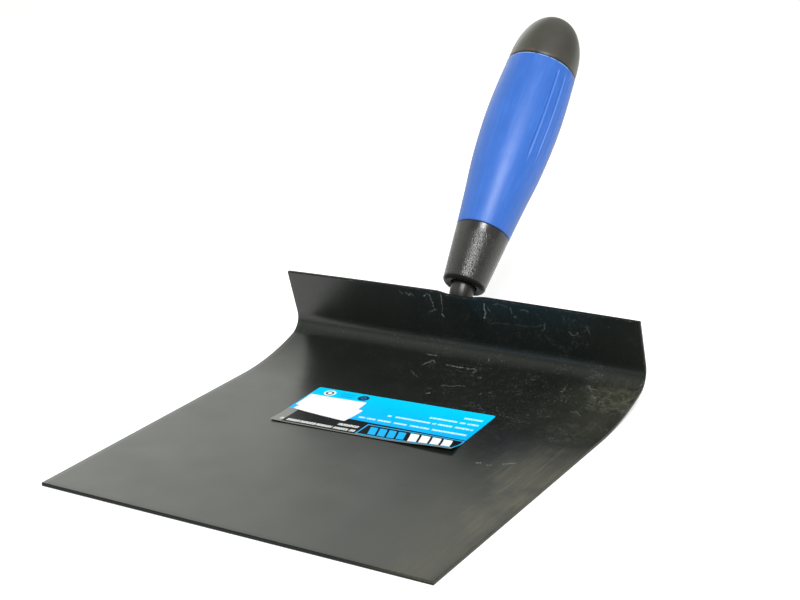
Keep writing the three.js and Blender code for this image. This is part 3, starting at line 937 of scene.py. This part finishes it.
def tang_material():
    """Dark drawn steel with lengthwise marks and a little rust where it meets the weld."""
    material, nodes, shader = new_material("dark_drawn_steel", Metallic=0.55, IOR=1.5)
    place = nodes.place()
    angle, station = nodes.parts(nodes.surface())[:2]
    drawn = nodes.combined(nodes.times(angle, 14), nodes.times(station, 0.25), 0)
    marks = nodes.noise(drawn, 1, 4, 0.7)
    cloud = nodes.noise(place, 0.35, 3, 0.6)
    colour = nodes.mix(marks, grey(0.018), grey(0.06, 0.02))
    colour = nodes.mix(nodes.ramp(cloud, 0.52, 0.72, 0, 0.6), colour, grey(0.014, 0.06))
    rust = nodes.noise(place, 1.4, 5, 0.75, 0.6)
    rust = nodes.times(nodes.ramp(rust, 0.5, 0.64), nodes.ramp(station, -14, -5, 0.55, 0))
    colour = nodes.mix(rust, colour, (0.075, 0.045, 0.028))
    rough = nodes.ramp(marks, 0.3, 0.7, 0.28, 0.44)
    normal = nodes.bump(nodes.math("ADD", marks, nodes.noise(place, 1.6, 3, 0.7)), 0.03)
    nodes.drive(shader, Base_Color=colour, Roughness=rough, Normal=normal)
    return material


def weld_material():
    """Weld metal under thin lacquer: rough, dark, with heat tint and spatter."""
    material, nodes, shader = new_material("weld_bead", Metallic=0.7, IOR=1.5)
    place = nodes.place()
    cloud = nodes.noise(place, 0.7, 3, 0.6)
    spatter = nodes.noise(place, 2.4, 3, 0.7)
    colour = nodes.mix(cloud, (0.035, 0.033, 0.032), (0.115, 0.095, 0.078))
    colour = nodes.mix(nodes.ramp(spatter, 0.56, 0.7, 0, 0.6), colour, (0.05, 0.055, 0.075))
    rough = nodes.ramp(cloud, 0.3, 0.7, 0.38, 0.6)
    normal = nodes.bump(spatter, 0.08)
    nodes.drive(shader, Base_Color=colour, Roughness=rough, Normal=normal)
    return material


def word_bars(nodes, x, y, lines, height):
    """Plain bars of uneven length that stand for lines of small print."""
    total = None
    for order, (middle, start, end) in enumerate(lines):
        row = nodes.band(y, middle - height / 2, middle + height / 2, 0.16)
        reach = nodes.band(x, start, end, 0.2)
        seed = 7.3 * (order + 1)
        words = nodes.ramp(nodes.noise(nodes.combined(x, seed, 0), 0.42, 0), 0.36, 0.4)
        strokes = nodes.noise(nodes.combined(x, seed, y), 2.6, 1)
        strokes = nodes.ramp(strokes, 0.4, 0.56, 0.1, 1)
        line = nodes.times(row, reach, words, strokes)
        total = line if total is None else nodes.math("MAXIMUM", total, line)
    return total


def slanted_bars(nodes, x, y, start, pitch, width, count, low, high):
    """A row of slanted blocks, the label's plain badge."""
    leaned = nodes.math("ADD", x, nodes.times(nodes.math("SUBTRACT", y, low), 0.33))
    along = nodes.math("SUBTRACT", leaned, start)
    in_pitch = nodes.math("MODULO", nodes.math("MAXIMUM", along, 0), pitch)
    blocks = nodes.band(in_pitch, 0.2, width, 0.12)
    reach = nodes.band(along, 0, pitch * count, 0.05)
    return nodes.times(blocks, reach, nodes.band(y, low, high, 0.15))


def round_marks(nodes, x, y, colour):
    """Two plain round marks and a few dark bars near the label's back edge."""
    place = nodes.combined(x, y, 0)
    ring_off = nodes.vector("DISTANCE", place, (-32.7, 14.4, 0))
    ring = nodes.ramp(ring_off, 2.45, 2.65, 1, 0)
    colour = nodes.mix(ring, colour, (0.9, 0.95, 0.95))
    colour = nodes.mix(nodes.band(ring_off, 1, 1.75, 0.15), colour, (0.02, 0.03, 0.04))
    disc_off = nodes.vector("DISTANCE", place, (-17, 14.6, 0))
    disc = nodes.ramp(disc_off, 2.3, 2.6, 1, 0)
    colour = nodes.mix(disc, colour, (0.01, 0.03, 0.1))
    colour = nodes.mix(nodes.band(disc_off, 0.6, 1.2, 0.15), colour, (0.02, 0.2, 0.42))
    dark = word_bars(nodes, x, y, [(15.6, -28.5, -21.5), (13.4, -27.5, -21.5)], 1.3)
    return nodes.mix(nodes.times(dark, 0.6), colour, (0.004, 0.16, 0.32))


def badge(nodes, x, y, colour):
    """An outlined box of slanted blocks, blue and then white."""
    outline = nodes.math(
        "SUBTRACT",
        nodes.times(nodes.band(x, -1.9, 40.2, 0.12), nodes.band(y, -17.7, -7.6, 0.12)),
        nodes.times(nodes.band(x, -1.3, 39.5, 0.12), nodes.band(y, -17.1, -8.2, 0.12)),
    )
    colour = nodes.mix(outline, colour, (0.03, 0.42, 0.75))
    blue_bars = slanted_bars(nodes, x, y, 2.6, 4.1, 3.4, 4, -16.2, -9.4)
    colour = nodes.mix(blue_bars, colour, (0.01, 0.42, 0.85))
    white_bars = slanted_bars(nodes, x, y, 20.2, 4.7, 3.9, 4, -16.8, -9)
    return nodes.mix(white_bars, colour, (0.9, 0.9, 0.88))


def label_material():
    """Satin film printed cyan over a black band, with a plain badge and bars for small print."""
    material, nodes, shader = new_material("printed_film", IOR=1.45, Specular_IOR_Level=0.05)
    surface = nodes.surface()
    x, y = nodes.parts(surface)[:2]
    cloud = nodes.noise(surface, 0.06, 2)
    fade = nodes.ramp(y, -8, 18, 0, 0.8, smooth=False)
    fade = nodes.math("ADD", fade, nodes.times(cloud, 0.2))
    colour = nodes.mix(fade, (0, 0.36, 0.95), (0, 0.63, 1))
    lines = [(-2.6, -9, 38), (2.7, 1, 38), (7.4, 17, 38), (12, 27, 37.5)]
    colour = nodes.mix(word_bars(nodes, x, y, lines, 1.3), colour, (0.8, 0.97, 1))
    colour = round_marks(nodes, x, y, colour)

    # The black band with its title bars, the badge, and bare film at the left and front.
    boundary = nodes.ramp(x, -40, 40, -5.1, -7, smooth=False)
    black = nodes.ramp(nodes.math("SUBTRACT", boundary, y), -0.12, 0.12)
    colour = nodes.mix(black, colour, (0.006, 0.007, 0.009))
    title = word_bars(nodes, x, y, [(-15.7, -37, -3), (-11.8, -12.7, -3.7)], 2)
    colour = nodes.mix(title, colour, (0.85, 0.87, 0.85))
    colour = badge(nodes, x, y, colour)
    left_end = nodes.times(black, nodes.ramp(x, -35.3, -35, 1, 0))
    bare = nodes.math("MAXIMUM", left_end, nodes.ramp(y, -18.1, -17.9, 1, 0))
    bare = nodes.times(bare, nodes.math("SUBTRACT", 1, title))
    colour = nodes.mix(bare, colour, (0.215, 0.22, 0.21))
    wear = nodes.ramp(nodes.noise(surface, 0.9, 4, 0.7), 0.66, 0.76, 0, 0.25)
    colour = nodes.mix(wear, colour, (0.7, 0.75, 0.76))
    rough = nodes.ramp(cloud, 0.3, 0.7, 0.26, 0.36)
    creases = nodes.bump(nodes.noise(surface, 0.25, 2, 0.5, 0.4), 0.1)
    nodes.drive(shader, Base_Color=colour, Roughness=rough, Normal=creases)
    return material


def paper_material():
    """Matt white price-sticker paper: fine fibre, and a trace of grey print near one edge."""
    material, nodes, shader = new_material("white_paper", IOR=1.45)
    surface = nodes.surface()
    x, y = nodes.parts(surface)[:2]
    fibre = nodes.noise(surface, 2.6, 4, 0.7)
    colour = nodes.mix(fibre, (0.86, 0.86, 0.85), (0.93, 0.93, 0.92))
    print_bars = word_bars(nodes, x, y, [(4.3, -9.5, 8.5)], 0.7)
    colour = nodes.mix(nodes.times(print_bars, 0.25), colour, (0.45, 0.42, 0.38))
    off_side = nodes.math("SUBTRACT", PRICE_OVER["width"] / 2, nodes.math("ABSOLUTE", x))
    off_end = nodes.math("SUBTRACT", PRICE_OVER["depth"] / 2, nodes.math("ABSOLUTE", y))
    off_edge = nodes.math("MINIMUM", off_side, off_end)
    grubby = nodes.times(nodes.ramp(off_edge, 0, 0.5, 0.35, 0), fibre)
    colour = nodes.mix(grubby, colour, (0.55, 0.53, 0.48))
    rough = nodes.ramp(fibre, 0.3, 0.7, 0.62, 0.74)
    normal = nodes.bump(fibre, 0.02)
    nodes.drive(shader, Base_Color=colour, Roughness=rough, Normal=normal)
    return material


# ---- Assembly ----
add_piece("pan_sheet", blade_mesh(), lacquer_material(), "blade")
tang = joined("tang", rod_mesh(), palm_mesh())
add_piece("tang_rod", tang, tang_material(), "tang")
bead = weld_material()
add_piece("weld_bead_left", weld_mesh(1), bead, "weld_left")
add_piece("weld_bead_right", weld_mesh(-1), bead, "weld_right")
add_piece("handle_core_moulding", core_mesh(), core_material(), "handle_core")
add_piece("handle_sleeve", grip_mesh(), rubber_material(), "soft_grip")
add_piece("handle_cap", cap_mesh(), cap_material(), "end_cap")
label = film_mesh("label", LABEL, label_lift)
add_piece("film_label", label, label_material(), "label")
paper = paper_material()
under = film_mesh("price_under", PRICE_UNDER, price_lift)
add_piece("price_sticker_under", under, paper, "price_sticker_lower")
over = film_mesh("price_over", PRICE_OVER, price_lift)
add_piece("price_sticker_over", over, paper, "price_sticker_upper")

# ---- Studio: pale floor, soft surroundings and one soft light overhead ----
MIDDLE = (CAD_LOW + CAD_HIGH) / 2


def make_floor():
    half = FLOOR_HALF * MM
    low = CAD_LOW.z - FLOOR_DROP * MM
    mesh = bpy.data.meshes.new("studio_floor")
    corners = [(-half, -half, low), (half, -half, low), (half, half, low), (-half, half, low)]
    mesh.from_pydata(corners, [], [(0, 1, 2, 3)])
    material, nodes, shader = new_material("studio_floor", Roughness=0.9)
    tone = nodes.noise(nodes.place(), 0.01, 2)
    nodes.drive(shader, Base_Color=nodes.mix(tone, grey(0.8), grey(0.82)))
    nodes.drive(shader, Emission_Color=(1, 1, 1), Emission_Strength=0.5)
    mesh.materials.append(material)
    floor = add_object("studio_floor", mesh)


def make_surroundings():
    """White walls that are brighter to the left, under an uneven grey ceiling."""
    world = bpy.data.worlds.new("studio")
    bpy.context.scene.world = world
    world.use_nodes = True
    nodes = Nodes(world.node_tree)
    direction = nodes.add("ShaderNodeTexCoord").outputs["Generated"]
    x, y, z = nodes.parts(direction)
    level = nodes.math("SQRT", nodes.math("ADD", nodes.times(x, x), nodes.times(y, y)))
    left = nodes.math("DIVIDE", nodes.times(x, -1), nodes.math("MAXIMUM", level, 0.001))
    back_wall = nodes.times(
        nodes.ramp(left, 0.38, 0.82, 0.68, 2.3),
        nodes.ramp(left, 0.84, 0.93, 1, 0.45),
        nodes.ramp(left, -0.7, 0, 0.25, 1),
    )
    front_wall = nodes.ramp(left, 0.42, 0.62, 0.3, 1.15)
    front_wall = nodes.times(front_wall, nodes.ramp(z, 0.05, 0.38, 0.28, 1))
    wall = nodes.blend(nodes.ramp(y, -0.25, 0.25), front_wall, back_wall)
    front_ceiling = nodes.ramp(x, -0.62, -0.46, 0.75, 0.2)
    back_ceiling = nodes.ramp(x, -0.34, -0.2, 0.27, 0.65)
    back_ceiling = nodes.math("ADD", back_ceiling, nodes.ramp(x, -0.6, -0.52, 0.35, 0))
    ceiling = nodes.blend(nodes.ramp(y, -0.35, 0.25), front_ceiling, back_ceiling)
    light = nodes.blend(nodes.ramp(z, 0.46, 0.82), wall, ceiling)
    # Down by the horizon it is plain white, like the floor.
    light = nodes.blend(nodes.ramp(z, 0.03, 0.07), 1, light)
    inputs = {"Strength": light, "Color": (0.985, 1, 0.94)}
    background = nodes.add("ShaderNodeBackground", inputs)
    nodes.add("ShaderNodeOutputWorld", {"Surface": background.outputs[0]})


def make_key_light():
    light = bpy.data.lights.new("soft_box", "AREA")
    light.shape = "SQUARE"
    light.size = 0.35
    light.energy = 14
    holder = add_object("soft_box", light)
    distance = 1.1
    towards = Vector((0.42, -0.55, 0.72)).normalized()
    holder.location = MIDDLE + distance * towards
    holder.rotation_euler = towards.to_track_quat("Z", "Y").to_euler()


def make_camera():
    azimuth = math.radians(32.72)
    elevation = math.radians(18.32)
    roll = math.radians(-2.92)
    distance = 0.61541
    aim = MIDDLE + Vector((-1.83, -10.29, -22.66)) * MM
    forward = Vector((
        -math.sin(azimuth) * math.cos(elevation),
        math.cos(azimuth) * math.cos(elevation),
        -math.sin(elevation),
    ))
    right = Vector((math.cos(azimuth), math.sin(azimuth), 0))
    up = right.cross(forward)
    rolled_right = right * math.cos(roll) + up * math.sin(roll)
    rolled_up = up * math.cos(roll) - right * math.sin(roll)
    lens = bpy.data.cameras.new("camera")
    lens.sensor_width = 36
    lens.lens = 71.48
    camera = add_object("camera", lens)
    turn = Matrix((rolled_right, rolled_up, -forward)).transposed()
    camera.matrix_world = Matrix.Translation(aim - forward * distance) @ turn.to_4x4()
    bpy.context.scene.camera = camera


make_floor()
make_surroundings()
make_key_light()
make_camera()
bpy.context.scene.view_settings.view_transform = "Standard"
